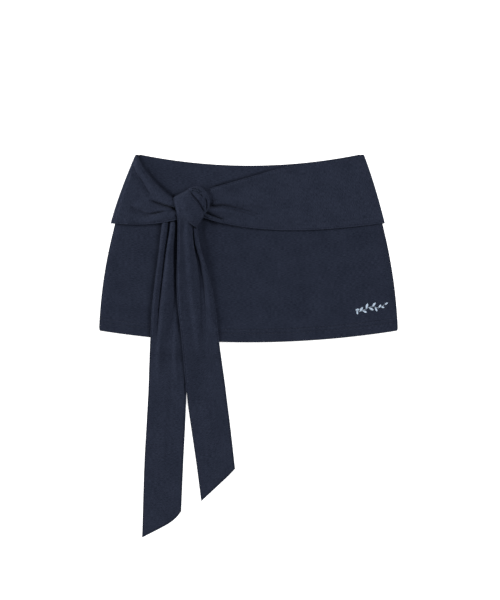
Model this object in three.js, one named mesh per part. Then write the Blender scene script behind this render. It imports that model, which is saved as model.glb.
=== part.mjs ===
// A foldover mini skirt in navy cotton jersey, laid flat with its front up. A wide sash is folded
// over the waist, goes round the back, and its two front arms are tied in a single knot left of
// centre, from which two long tails hang down past the hem.
//
// Sizes are in millimetres. X runs across the skirt, Y up towards the waist and Z off the table.
// While the pieces are worked out, Y is 0 at the two waist corners; the last lines move the whole
// garment so that its origin is the middle of the rectangle that it covers on the table.
import * as THREE from "three";

// Cut of the body, measured flat
const WAIST = 354;
const HEM = 478;
const SIDE_LENGTH = 280;
const HIP_FULLNESS = 0.84;
const WAIST_DIP = 17.7;
const HEM_DROP = 18.8;
const WAIST_SHIFT = 1.9;
const HEM_ALLOWANCE = 20;

// Cut of the sash
const BAND_DEPTH = 110;
const BAND_OVERHANG = 5.6;
const BAND_LEAN = 1.6;

// Cloth: the body is one layer of jersey, and the sash is two layers sewn and turned
const JERSEY = 1.2;
const SASH = 2;
const SEAM_GAP = 0.3;
const REST_GAP = 0.5;
const AIR = 1;

// Where each layer's middle lies above the table, under the sash, in the field and at the hem
const BACK_UNDER_SASH = SASH + SEAM_GAP + JERSEY / 2;
const BACK_IN_FIELD = JERSEY / 2;
const FRONT_UNDER_SASH = BACK_UNDER_SASH + JERSEY + AIR;
const FRONT_IN_FIELD = BACK_IN_FIELD + JERSEY + AIR;
const FRONT_AT_HEM = BACK_IN_FIELD + 3 * JERSEY + SEAM_GAP;
const ARM_LEVEL = FRONT_UNDER_SASH + JERSEY / 2 + REST_GAP + SASH / 2;
const WRAP_RADIUS = (ARM_LEVEL - SASH / 2) / 2;

// Shares of the side length at which the body steps off the sash and up onto the hem allowance
const BAND_END = BAND_DEPTH / SIDE_LENGTH;
const STEP_START = BAND_END + 0.006;
const BACK_STEP_END = STEP_START + 0.05;
const FRONT_STEP_END = STEP_START + 0.17;
const HEM_START = 1 - HEM_ALLOWANCE / SIDE_LENGTH;
const HEM_RISE_START = HEM_START - 0.06;
const HEM_RISE_END = HEM_START - 0.006;
const HEM_FOLD = 0.006;

// The front's sides bend down to the side seams over this width. The tails come down from the hem
// to the table between these distances past it, and bridge a step in what they lie on.
const SIDE_BEND = 10;
const TAIL_STEP_START = 4;
const TAIL_STEP_END = 30;
const TAIL_BRIDGE = 8;

const mix = THREE.MathUtils.lerp;
const smooth = (value, low, high) => THREE.MathUtils.smoothstep(value, low, high);
const hump = (offset, spread) => Math.exp(-((offset / spread) ** 2));

// Evenly spaced numbers from low to high, ends included.
function steps(low, high, count) {
  return Array.from({ length: count + 1 }, (_, i) => mix(low, high, i / count));
}

// The value of a table's column at a place between its rows, on a smooth curve through them.
function column(rows, name, place) {
  const last = rows.length - 1;
  if (place <= rows[0].at) return rows[0][name];
  if (place >= rows[last].at) return rows[last][name];
  const i = rows.findIndex((row) => row.at > place) - 1;
  const slope = (k) => {
    const before = rows[Math.max(k - 1, 0)];
    const after = rows[Math.min(k + 1, last)];
    return (after[name] - before[name]) / (after.at - before.at);
  };
  const span = rows[i + 1].at - rows[i].at;
  const s = (place - rows[i].at) / span;
  const rise = rows[i + 1][name] - rows[i][name];
  const bend = s * (1 - s) * ((slope(i) * span - rise) * (1 - s) - (slope(i + 1) * span - rise) * s);
  return mix(rows[i][name], rows[i + 1][name], s) + bend;
}

// A closed wall of cloth. middle(u, v) gives a point of the cloth's middle surface; over(v) and
// under(v) give how far its two faces lie from there, on the side that looks up and on the other.
function clothWall(middle, across, down, over, under) {
  const eps = 1e-3;
  const faceUp = new THREE.Vector3();
  const grid = down.map((v) =>
    across.map((u) => {
      const du = middle(u + eps, v).sub(middle(u - eps, v));
      const dv = middle(u, v + eps).sub(middle(u, v - eps));
      const normal = dv.cross(du).normalize();
      faceUp.add(normal);
      return { point: middle(u, v), normal };
    }),
  );
  const side = Math.sign(faceUp.z);
  const points = [];
  for (const [offsets, sign] of [[over, side], [under, -side]]) {
    grid.forEach((row, j) => {
      for (const { point, normal } of row) {
        points.push(point.clone().addScaledVector(normal, sign * offsets(down[j])));
      }
    });
  }
  const wide = across.length;
  const far = wide * down.length;
  const faces = [];
  const quad = (a, b, c, d) => faces.push(...(side > 0 ? [a, b, c, a, c, d] : [a, c, b, a, d, c]));
  for (let j = 0; j + 1 < down.length; j += 1) {
    for (let i = 0; i + 1 < wide; i += 1) {
      const a = j * wide + i;
      quad(a, a + wide, a + wide + 1, a + 1);
      quad(far + a, far + a + 1, far + a + wide + 1, far + a + wide);
    }
  }
  for (let i = 0; i + 1 < wide; i += 1) {
    const end = (down.length - 1) * wide + i;
    quad(i, i + 1, far + i + 1, far + i);
    quad(end + 1, end, far + end, far + end + 1);
  }
  for (let j = 0; j + 1 < down.length; j += 1) {
    const left = j * wide;
    const right = left + wide - 1;
    quad(left + wide, left, far + left, far + left + wide);
    quad(right, right + wide, far + right + wide, far + right);
  }
  const geometry = new THREE.BufferGeometry().setFromPoints(points);
  geometry.setIndex(faces);
  geometry.computeVertexNormals();
  return geometry;
}

const NAVY_BODY = new THREE.MeshStandardMaterial({ color: 0x262c3b, roughness: 0.95, metalness: 0 });
const NAVY_SASH = new THREE.MeshStandardMaterial({ color: 0x2b303f, roughness: 0.95, metalness: 0 });

function piece(name, geometry, material) {
  const mesh = new THREE.Mesh(geometry, material);
  mesh.name = name;
  return mesh;
}

// Body: front and back are the same A-line cut. across is -1 to 1 between the side seams, and down
// is 0 at the waist and 1 at the hem.
function halfWidth(down) {
  return mix(WAIST, HEM, down * (1 + HIP_FULLNESS * (1 - down))) / 2;
}

function bodyCentre(down) {
  return WAIST_SHIFT * (1 - down) ** 3;
}

function bodyY(across, down) {
  return -SIDE_LENGTH * down - mix(WAIST_DIP, HEM_DROP, down) * (1 - across ** 2);
}

function frontLevel(down) {
  const fall = smooth(down, STEP_START, FRONT_STEP_END);
  const rise = smooth(down, HEM_RISE_START, HEM_RISE_END);
  return mix(mix(FRONT_UNDER_SASH, FRONT_IN_FIELD, fall), FRONT_AT_HEM, rise);
}

function backLevel(down) {
  return mix(BACK_UNDER_SASH, BACK_IN_FIELD, smooth(down, STEP_START, BACK_STEP_END));
}

function backPoint(across, down) {
  const x = bodyCentre(down) + across * halfWidth(down);
  return new THREE.Vector3(x, bodyY(across, down), backLevel(down));
}

function frontPoint(across, down) {
  const point = backPoint(across, down);
  const inward = halfWidth(down) * (1 - Math.abs(across));
  const bend = Math.max(0, 1 - inward / SIDE_BEND) ** 2;
  const seam = backLevel(down) + JERSEY + SEAM_GAP;
  const field = frontLevel(down);
  point.z = mix(field, Math.min(field, seam), bend * (1 - smooth(down, HEM_RISE_START, HEM_RISE_END)));
  return point;
}

// Height of what lies under a place: the front's upper face, or past the hem the table.
function frontTop(x, y) {
  let down = -y / SIDE_LENGTH;
  let across = 0;
  for (let i = 0; i < 4; i += 1) {
    across = THREE.MathUtils.clamp((x - bodyCentre(down)) / halfWidth(down), -1, 1);
    down -= (bodyY(across, down) - y) / -SIDE_LENGTH;
  }
  const pastHem = (down - 1) * SIDE_LENGTH;
  const onSkirt = frontLevel(Math.min(down, 1)) + JERSEY / 2;
  return mix(onSkirt, 0, smooth(pastHem, TAIL_STEP_START, TAIL_STEP_END));
}

const BODY_ACROSS = [-1, -0.985, -0.96, ...steps(-0.9, 0.9, 12), 0.96, 0.985, 1];
const BODY_DOWN = [
  ...steps(0, STEP_START, 3),
  ...steps(STEP_START, BACK_STEP_END, 4).slice(1),
  ...steps(BACK_STEP_END, FRONT_STEP_END, 3).slice(1),
  ...steps(FRONT_STEP_END, HEM_RISE_START, 3).slice(1),
  ...steps(HEM_RISE_START, HEM_RISE_END, 4).slice(1),
  HEM_START,
  HEM_START + HEM_FOLD,
  1,
];

// The hem allowance is turned up inside, so the wall is two layers thick there on its inner side.
const halfJersey = () => JERSEY / 2;
const insideHem = (down) => JERSEY / 2 + (down > HEM_START + HEM_FOLD / 2 ? JERSEY : 0);

function frontPanel() {
  return clothWall(frontPoint, BODY_ACROSS, BODY_DOWN, halfJersey, insideHem);
}

function backPanel() {
  return clothWall(backPoint, BODY_ACROSS, BODY_DOWN, insideHem, halfJersey);
}

// Sash across the back: it lies under the back panel. across is -1 to 1 on the flat, and from there
// to -2 and 2 where each side turns up round the body in a quarter circle to meet the front arm.
const halfSash = () => SASH / 2;
const TURN_END = Math.PI / 2 - SEAM_GAP / 2 / (WRAP_RADIUS - SASH / 2);

function sashFlatHalf(down) {
  return halfWidth(down) + BAND_OVERHANG - SASH / 2 - WRAP_RADIUS;
}

// The sash is pulled a little towards the knot, most of all at its lower edge.
function sashCentre(down) {
  return bodyCentre(down) - BAND_LEAN * smooth(down, 0, BAND_END);
}

// A place on the line where the sash starts to turn round the body's side.
function sashSide(side, down) {
  const across = side * (sashFlatHalf(down) / halfWidth(down));
  return new THREE.Vector2(sashCentre(down) + side * sashFlatHalf(down), bodyY(across, down));
}

function sashBackPoint(across, down) {
  const side = Math.sign(across);
  const flat = THREE.MathUtils.clamp(across, -1, 1);
  const turn = Math.max(0, Math.abs(across) - 1) * TURN_END;
  const half = sashFlatHalf(down);
  return new THREE.Vector3(
    sashCentre(down) + flat * half + side * WRAP_RADIUS * Math.sin(turn),
    bodyY((flat * half) / halfWidth(down), down),
    SASH / 2 + WRAP_RADIUS * (1 - Math.cos(turn)),
  );
}

function sashBack() {
  const turn = steps(1, 2, 5);
  const across = [...turn.map((s) => -s).reverse(), ...steps(-1, 1, 12).slice(1, -1), ...turn];
  return clothWall(sashBackPoint, across, steps(0, BAND_END, 5), halfSash, halfSash);
}

// Front arms of the sash. toKnot is 0 where the arm leaves the side and 1 at the knot, and negative
// round the side, down to -1 at the side seam. across is 0 at the upper edge and 1 at the lower.
// A fold's row gives where it starts and ends towards the knot, its place across the arm at its
// start, middle and end, its height (a crease is negative), and its half width across the arm.
const LEFT_ARM_FOLDS = [
  { name: "upper roll", start: 0.05, end: 1, first: 0.1, middle: 0.11, last: 0.2, high: 2.2, wide: 0.1 },
  { name: "roll line", start: 0, end: 0.5, first: 0.16, middle: 0.21, last: 0.27, high: -1, wide: 0.05 },
  { name: "deep crease", start: 0.42, end: 1, first: 0.55, middle: 0.5, last: 0.45, high: -5.5, wide: 0.06 },
  { name: "long crease", start: 0.1, end: 0.9, first: 0.76, middle: 0.79, last: 0.6, high: -4, wide: 0.07 },
  { name: "lower roll", start: 0.3, end: 1, first: 0.9, middle: 0.88, last: 0.8, high: 1.6, wide: 0.1 },
];
const RIGHT_ARM_FOLDS = [
  { name: "upper roll", start: 0.5, end: 1, first: 0.2, middle: 0.25, last: 0.3, high: 1.6, wide: 0.2 },
  { name: "upper crease", start: 0.6, end: 1, first: 0.55, middle: 0.47, last: 0.57, high: -2.2, wide: 0.05 },
  { name: "long crease", start: 0.5, end: 1, first: 0.76, middle: 0.66, last: 0.6, high: -2.6, wide: 0.06 },
  { name: "middle roll", start: 0.55, end: 1, first: 0.84, middle: 0.8, last: 0.72, high: 1.4, wide: 0.07 },
  { name: "lower crease", start: 0.8, end: 1, first: 0.96, middle: 0.93, last: 0.85, high: -1.8, wide: 0.04 },
];

function foldHeight(folds, across, toKnot) {
  let height = 0;
  for (const fold of folds) {
    const s = THREE.MathUtils.clamp((toKnot - fold.start) / (fold.end - fold.start), 0, 1);
    const place = mix(mix(fold.first, fold.middle, s), mix(fold.middle, fold.last, s), s);
    const grown = smooth(s, 0, 0.7) * (fold.end < 1 ? 1 - smooth(s, 0.7, 1) : 1);
    height += fold.high * grown * hump(across - place, fold.wide);
  }
  return height;
}

function bezier(points, s) {
  const r = 1 - s;
  return new THREE.Vector2()
    .addScaledVector(points[0], r ** 3)
    .addScaledVector(points[1], 3 * r * r * s)
    .addScaledVector(points[2], 3 * r * s * s)
    .addScaledVector(points[3], s ** 3);
}

const spot = (x, y) => new THREE.Vector2(x, y);

const LEFT_ARM = {
  side: -1,
  upper: [spot(-168, -27), spot(-144, -52), spot(-115.5, -73)],
  lower: [spot(-185, -114), spot(-140, -112), spot(-113.4, -104)],
  endBulge: 0,
  upperLift: 4,
  lowerLift: 7.6,
  liftStart: 0.25,
  folds: LEFT_ARM_FOLDS,
};

// The right arm's upper edge follows the waist as far as the pull line to the knot.
const RIGHT_ARM = {
  side: 1,
  lower: [spot(130, -121), spot(20, -132), spot(-75, -100)],
  upperEnd: -71.4,
  pullAtCentre: -36.4,
  pullSlope: 0.289,
  pullBlend: 2.5,
  endBulge: 9.5,
  upperLift: 2.2,
  lowerLift: 2.4,
  liftStart: 0.55,
  folds: RIGHT_ARM_FOLDS,
};

function rightUpperEdge(arm, toKnot) {
  const start = sashSide(arm.side, 0);
  const x = mix(start.x, arm.upperEnd, toKnot);
  const waist = bodyY((x - WAIST_SHIFT) / (WAIST / 2), 0);
  const pull = arm.pullAtCentre + arm.pullSlope * x;
  const lower = Math.min(waist, pull);
  const blend = arm.pullBlend * hump(waist - pull, 2 * arm.pullBlend) * smooth(toKnot, 0, 0.3);
  return spot(x, lower - blend);
}

function armPoint(arm, across, toKnot) {
  const s = Math.max(0, toKnot);
  const corner = (down) => sashSide(arm.side, down);
  const upper = arm.upper ? bezier([corner(0), ...arm.upper], s) : rightUpperEdge(arm, s);
  const lower = bezier([corner(BAND_END), ...arm.lower], s);
  const chord = corner(0).lerp(corner(BAND_END), across);
  const hip = corner(BAND_END * across).sub(chord);
  const plan = upper.lerp(lower, across).addScaledVector(hip, (1 - s) ** 3);
  plan.x += arm.endBulge * 4 * across * (1 - across) * s ** 8;

  const turn = Math.max(0, -toKnot) * TURN_END;
  const lift = mix(arm.upperLift, arm.lowerLift, smooth(across, 0.2, 0.8)) * smooth(s, arm.liftStart, 1);
  return new THREE.Vector3(
    plan.x + arm.side * WRAP_RADIUS * Math.sin(turn),
    plan.y,
    ARM_LEVEL - WRAP_RADIUS * (1 - Math.cos(turn)) + Math.max(0, lift + foldHeight(arm.folds, across, s)),
  );
}

function sashArm(arm, along) {
  const toKnot = [...steps(-1, 0, 5), ...steps(0, 0.3, 2).slice(1), ...steps(0.3, 1, along).slice(1)];
  const point = (across, v) => armPoint(arm, across, v);
  return clothWall(point, steps(0, 1, 16), toKnot, halfSash, halfSash);
}

// Tails. A section's row gives how far down from the waist it is, its two edges, and how far the
// cloth stands above what it lies on at its left edge, middle and right edge. A fold's row gives its
// place across the tail at the knot and at the foot of the fold, its height and its half width.
// pressed is the share of a fold's height at the very start, under the knot or the arm.
const LEFT_TAIL = {
  sections: [
    { at: 101, left: -136.5, right: -101, liftLeft: 0, liftMiddle: 0, liftRight: 0 },
    { at: 114, left: -138.4, right: -100.5, liftLeft: 0, liftMiddle: 0.6, liftRight: 0 },
    { at: 154, left: -142.7, right: -99.5, liftLeft: 0, liftMiddle: 0.6, liftRight: 0 },
    { at: 197, left: -148.5, right: -99, liftLeft: 0, liftMiddle: 0.3, liftRight: 0 },
    { at: 240, left: -153.6, right: -98.5, liftLeft: 0, liftMiddle: 0, liftRight: 0 },
    { at: 283, left: -156.2, right: -98.2, liftLeft: 0, liftMiddle: 0, liftRight: 0 },
    { at: 330, left: -158.6, right: -98.4, liftLeft: 0, liftMiddle: 0, liftRight: 0 },
    { at: 372, left: -160, right: -98.9, liftLeft: 0, liftMiddle: 0, liftRight: 0 },
    { at: 430, left: -163.1, right: -101.1, liftLeft: 0, liftMiddle: 0, liftRight: 0 },
    { at: 493, left: -166.6, right: -104.3, liftLeft: 0, liftMiddle: 0, liftRight: 0 },
    { at: 612, left: -170.2, right: -109.4, liftLeft: 0, liftMiddle: 0, liftRight: 0 },
  ],
  folds: [
    { name: "outer roll", knot: 0.1, foot: 0.07, high: 3.4, wide: 0.085 },
    { name: "second roll", knot: 0.47, foot: 0.26, high: 4.6, wide: 0.1 },
  ],
  start: 101,
  startSlant: 0,
  pressed: 0.3,
  end: 612,
  endSlant: 31.5,
  endCorner: 0.34,
  foldEnd: 350,
};
const RIGHT_TAIL = {
  sections: [
    { at: 96, left: -112.6, right: -84, liftLeft: 8.6, liftMiddle: 7.2, liftRight: 4.6 },
    { at: 114, left: -112.8, right: -82.2, liftLeft: 9, liftMiddle: 8, liftRight: 4.5 },
    { at: 154, left: -113.6, right: -74.9, liftLeft: 8.6, liftMiddle: 6.6, liftRight: 3 },
    { at: 197, left: -114.6, right: -61.3, liftLeft: 6.8, liftMiddle: 3, liftRight: 1 },
    { at: 240, left: -113.1, right: -53.3, liftLeft: 5.2, liftMiddle: 1.2, liftRight: 0 },
    { at: 283, left: -108, right: -48.3, liftLeft: 4.2, liftMiddle: 0, liftRight: 0 },
    { at: 309, left: -105.5, right: -45.4, liftLeft: 4, liftMiddle: 0, liftRight: 0 },
    { at: 370, left: -100.2, right: -37, liftLeft: 3.2, liftMiddle: 0, liftRight: 0 },
    { at: 385, left: -98.4, right: -35.2, liftLeft: 2.4, liftMiddle: 0, liftRight: 0 },
    { at: 404, left: -96.4, right: -32.8, liftLeft: 0, liftMiddle: 0, liftRight: 0 },
    { at: 431, left: -92.6, right: -29.4, liftLeft: 0, liftMiddle: 0, liftRight: 0 },
    { at: 494, left: -83.4, right: -22.3, liftLeft: 0, liftMiddle: 0, liftRight: 0 },
    { at: 554, left: -75.6, right: -16, liftLeft: 0, liftMiddle: 0, liftRight: 0 },
  ],
  folds: [
    { name: "left roll", knot: 0.1, foot: 0.05, high: 1.2, wide: 0.09 },
    { name: "valley", knot: 0.31, foot: 0.21, high: -1.4, wide: 0.06 },
    { name: "main roll", knot: 0.57, foot: 0.42, high: 2.2, wide: 0.15 },
    { name: "pinch", knot: 0.83, foot: 0.68, high: -4.5, wide: 0.07 },
    { name: "right strip", knot: 0.96, foot: 0.9, high: 1, wide: 0.05 },
  ],
  start: 96,
  startSlant: 13,
  pressed: 1,
  end: 554,
  endSlant: 50,
  endCorner: 0.04,
  foldEnd: 350,
};

const PRESSED_LENGTH = 20;
const TAIL_STRETCHES = [
  { to: 154, count: 7 },
  { to: 275, count: 8 },
  { to: 340, count: 8 },
];

// The cut end slopes up to the right and bends further up at its upper corner.
function cutSlope(tail, across) {
  return tail.endSlant * (across + tail.endCorner * across ** 7);
}

function tailY(tail, across, down) {
  const straight = mix(tail.start, tail.end, down);
  const slant = tail.startSlant * across * (1 - down) ** 6 - cutSlope(tail, across) * down ** 4;
  return -(straight + slant);
}

function tailLift(tail, across, at) {
  const middle = column(tail.sections, "liftMiddle", at);
  const left = mix(column(tail.sections, "liftLeft", at), middle, smooth(across, 0, 0.5));
  return mix(left, column(tail.sections, "liftRight", at), smooth(across, 0.5, 1));
}

function tailPoint(tail, across, down) {
  const y = tailY(tail, across, down);
  const at = -y;
  const x = mix(column(tail.sections, "left", at), column(tail.sections, "right", at), across);
  const run = smooth(at, tail.start, tail.foldEnd);
  const gathered = mix(tail.pressed, 1, smooth(at, tail.start, tail.start + PRESSED_LENGTH)) * (1 - run);
  const folds = tail.folds.reduce((sum, fold) => {
    const place = mix(fold.knot, fold.foot, run);
    return sum + fold.high * gathered * hump(across - place, fold.wide * (1 + run));
  }, 0);
  const rest = Math.max(...[-TAIL_BRIDGE, 0, TAIL_BRIDGE].map((reach) => frontTop(x, y + reach)));
  const height = Math.min(rest, SEAM_GAP) + rest + SASH / 2;
  return new THREE.Vector3(x, y, height + Math.max(0, tailLift(tail, across, at) + folds));
}

function tailPiece(tail) {
  const rows = [tail.start];
  for (const stretch of [...TAIL_STRETCHES, { to: tail.end, count: 6 }]) {
    rows.push(...steps(rows.at(-1), stretch.to, stretch.count).slice(1));
  }
  const down = rows.map((at) => (at - tail.start) / (tail.end - tail.start));
  const point = (across, v) => tailPoint(tail, across, v);
  return clothWall(point, steps(0, 1, 14), down, halfSash, halfSash);
}

// Knot. Its hidden layers and the turn of cloth that shows on its right are one rounded solid.
const TURN = { x: -84, y: -76, z: 15, across: 22.3, along: 25, up: 6.8, down: 6.3 };

function knotTurn() {
  const geometry = new THREE.SphereGeometry(1, 28, 16);
  geometry.rotateX(Math.PI / 2);
  const position = geometry.getAttribute("position");
  for (let i = 0; i < position.count; i += 1) {
    const z = position.getZ(i);
    position.setXYZ(
      i,
      TURN.x + TURN.across * position.getX(i),
      TURN.y + TURN.along * position.getY(i),
      TURN.z + (z > 0 ? TURN.up : TURN.down) * z,
    );
  }
  return geometry;
}

// The wrap is the band of cloth that crosses the front of the knot from its upper left to its lower
// right. A row gives the places of its left and right edges, from its top to its lower end.
const WRAP_SECTIONS = [
  { at: 0, leftX: -120.8, leftY: -69.1, rightX: -93.8, rightY: -54.2 },
  { at: 0.25, leftX: -117.3, leftY: -82, rightX: -88, rightY: -66 },
  { at: 0.5, leftX: -111.5, leftY: -97.5, rightX: -80, rightY: -78 },
  { at: 0.75, leftX: -98, leftY: -107.5, rightX: -73, rightY: -89 },
  { at: 1, leftX: -82.7, leftY: -115.8, rightX: -72, rightY: -98.6 },
];
const WRAP = { x: -94, y: -83, base: 8, rise: 17, across: 37, along: 42 };
const ROLLED = { edge: 2.2, edgeWidth: 0.09, top: 5, topLength: 0.14, end: 5, endLength: 0.1 };

function wrapPoint(across, down) {
  const place = (name) => column(WRAP_SECTIONS, name, down);
  const x = mix(place("leftX"), place("rightX"), across);
  const y = mix(place("leftY"), place("rightY"), across);
  const reach = ((x - WRAP.x) / WRAP.across) ** 2 + ((y - WRAP.y) / WRAP.along) ** 2;
  const dome = WRAP.base + WRAP.rise * Math.sqrt(Math.max(0, 1 - reach));
  const top = ROLLED.top * 4 * across * (1 - across) * Math.max(0, 1 - down / ROLLED.topLength) ** 2;
  const end = mix(1, ROLLED.end, across) * Math.max(0, 1 - (1 - down) / ROLLED.endLength) ** 2;
  const edge = ROLLED.edge * hump(across, ROLLED.edgeWidth) * mix(1, 0.4, hump(down - 1, 0.25));
  return new THREE.Vector3(x, y, dome - top - end - edge);
}

function knotWrap() {
  const down = [
    ...steps(0, ROLLED.topLength, 3),
    ...steps(ROLLED.topLength, 1 - ROLLED.endLength, 9).slice(1, -1),
    ...steps(1 - ROLLED.endLength, 1, 3),
  ];
  const across = [...steps(0, ROLLED.edgeWidth, 2), ...steps(2 * ROLLED.edgeWidth, 1, 8)];
  return clothWall(wrapPoint, across, down, halfSash, halfSash);
}

const skirt = new THREE.Group();
skirt.add(
  piece("back_panel", backPanel(), NAVY_BODY),
  piece("front_panel", frontPanel(), NAVY_BODY),
  piece("sash_back", sashBack(), NAVY_SASH),
  piece("sash_arm_left", sashArm(LEFT_ARM, 14), NAVY_SASH),
  piece("sash_arm_right", sashArm(RIGHT_ARM, 16), NAVY_SASH),
  piece("tail_left", tailPiece(LEFT_TAIL), NAVY_SASH),
  piece("tail_right", tailPiece(RIGHT_TAIL), NAVY_SASH),
  piece("knot_turn", knotTurn(), NAVY_SASH),
  piece("knot_wrap", knotWrap(), NAVY_SASH),
);

// The origin is the middle of the rectangle that the garment covers, on the table.
const covered = new THREE.Box3().setFromObject(skirt);
const middle = covered.getCenter(new THREE.Vector3());
skirt.position.set(-middle.x, -middle.y, -covered.min.z);

export default skirt;
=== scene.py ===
import math

import bpy
import numpy as np
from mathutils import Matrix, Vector


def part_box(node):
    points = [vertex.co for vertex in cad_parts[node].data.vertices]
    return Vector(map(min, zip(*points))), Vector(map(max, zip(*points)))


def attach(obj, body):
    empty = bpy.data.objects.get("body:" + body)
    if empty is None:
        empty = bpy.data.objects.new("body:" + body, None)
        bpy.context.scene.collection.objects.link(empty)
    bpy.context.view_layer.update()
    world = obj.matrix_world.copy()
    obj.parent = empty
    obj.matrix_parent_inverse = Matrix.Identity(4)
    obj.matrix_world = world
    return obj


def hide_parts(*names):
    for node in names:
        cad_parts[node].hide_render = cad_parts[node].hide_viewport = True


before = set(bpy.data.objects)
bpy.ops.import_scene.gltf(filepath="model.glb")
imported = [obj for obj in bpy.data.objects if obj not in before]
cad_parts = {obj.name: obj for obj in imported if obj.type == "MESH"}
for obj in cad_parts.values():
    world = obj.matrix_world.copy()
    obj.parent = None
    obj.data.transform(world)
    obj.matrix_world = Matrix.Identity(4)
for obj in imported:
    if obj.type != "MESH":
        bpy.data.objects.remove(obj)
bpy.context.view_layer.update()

# The camera looks straight down on the flat lay, as in the photograph. The view is 960 mm high.
# Sizes are in millimetres throughout. X runs to the right of the picture, Y up from the waist's two
# corners and Z off the table, and a piece's mesh is moved to the row frame when it is made.
MM = 0.001
LENS, SENSOR = 150, 36
VIEW_HEIGHT, VIEW_CENTRE = 960, (2.4, -232)

front_low, front_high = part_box("front_panel")
WAIST_CORNERS = Vector(((front_low.x + front_high.x) / 2, front_high.y, 0))


def row_frame(x, y, z):
    return WAIST_CORNERS + Vector((x, y, z)) * MM


def all_in_row_frame(points):
    return points * MM + np.array(WAIST_CORNERS)


view_from = row_frame(*VIEW_CENTRE, VIEW_HEIGHT * LENS / SENSOR)
bpy.ops.object.camera_add(location=view_from, rotation=(0, 0, 0))
camera = bpy.context.object
camera.data.lens = LENS
camera.data.sensor_width = SENSOR
camera.data.clip_end = 100
bpy.context.scene.camera = camera
bpy.context.scene.view_settings.view_transform = "Standard"

# Back panel: one layer of navy cotton jersey, an A-line cut that dips at the waist and the hem. Its
# hem allowance is turned up inside and held by twin-needle stitching.
WAIST, HEM, SIDE_LENGTH, HIP_FULLNESS = 354, 478, 280, 0.84
WAIST_DIP, HEM_DROP, WAIST_SHIFT, HEM_ALLOWANCE = 17.7, 18.8, 1.9, 20
JERSEY, SEAM_TURN = 1, 1.1
SEAM_FROM_EDGE, SEAM_GROOVE, SEAM_SPREAD = 2.1, 0.7, 0.8
THINNEST_EDGE = 0.02
HEM_TURN_RADIUS = 0.58
HEM_TURN = math.pi * HEM_TURN_RADIUS
BACK_UNDER_SASH, BACK_IN_FIELD = 2.9, 0.55
BAND_DEPTH = 110
BAND_END = BAND_DEPTH / SIDE_LENGTH
STEP_START = BAND_END + 0.006
BACK_STEP_END = STEP_START + 0.044
TWIN_NEEDLE_ROWS = (13, 19)
HEM_RELIEF = [
    *({"above": row, "high": -0.4, "spread": 0.8} for row in TWIN_NEEDLE_ROWS),
    {"above": 16, "high": 0.3, "spread": 2.2},
    {"above": 21, "high": 0.35, "spread": 1.6},
]
NAVY_YARNS = ((0.0078, 0.0104, 0.0196), (0.0188, 0.0232, 0.0398))
YARN_STREAK = (5, 0.8)
WALE_WIDTH, COURSE_HEIGHT = 0.9, 0.75


def mix(low, high, share):
    return low + (high - low) * share


def smooth(value, low, high):
    share = np.clip((value - low) / (high - low), 0, 1)
    return share * share * (3 - 2 * share)


def hump(offset, spread):
    return np.exp(-((offset / spread) ** 2))


def half_width(down):
    return mix(WAIST, HEM, down * (1 + HIP_FULLNESS * (1 - down))) / 2


def body_centre(down):
    return WAIST_SHIFT * (1 - down) ** 3


def body_y(across, down):
    return -SIDE_LENGTH * down - mix(WAIST_DIP, HEM_DROP, down) * (1 - across**2)


def cloth_lines(start, *stretches):
    """Places of grid lines from start on. Each stretch gives where it ends and its spacing."""
    places = [start]
    for end, spacing in stretches:
        count = max(1, round(abs(end - places[-1]) / spacing))
        places.extend(np.linspace(places[-1], end, count + 1)[1:])
    return np.array(places, float)


def distance_along(points, axis):
    """Length of the cloth up to each grid line, measured on its surface."""
    steps = np.linalg.norm(np.diff(points, axis=axis), axis=2)
    start = np.zeros_like(np.take(steps, [0], axis=axis))
    return np.cumsum(np.concatenate([start, steps], axis=axis), axis=axis)


def lay_pattern(piece, places):
    """Gives each vertex its place in the cloth's pattern, in the piece's own UVs."""
    corners = np.empty(len(piece.data.loops), int)
    piece.data.loops.foreach_get("vertex_index", corners)
    piece.data.uv_layers.active.data.foreach_set("uv", places[corners].ravel())


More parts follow.
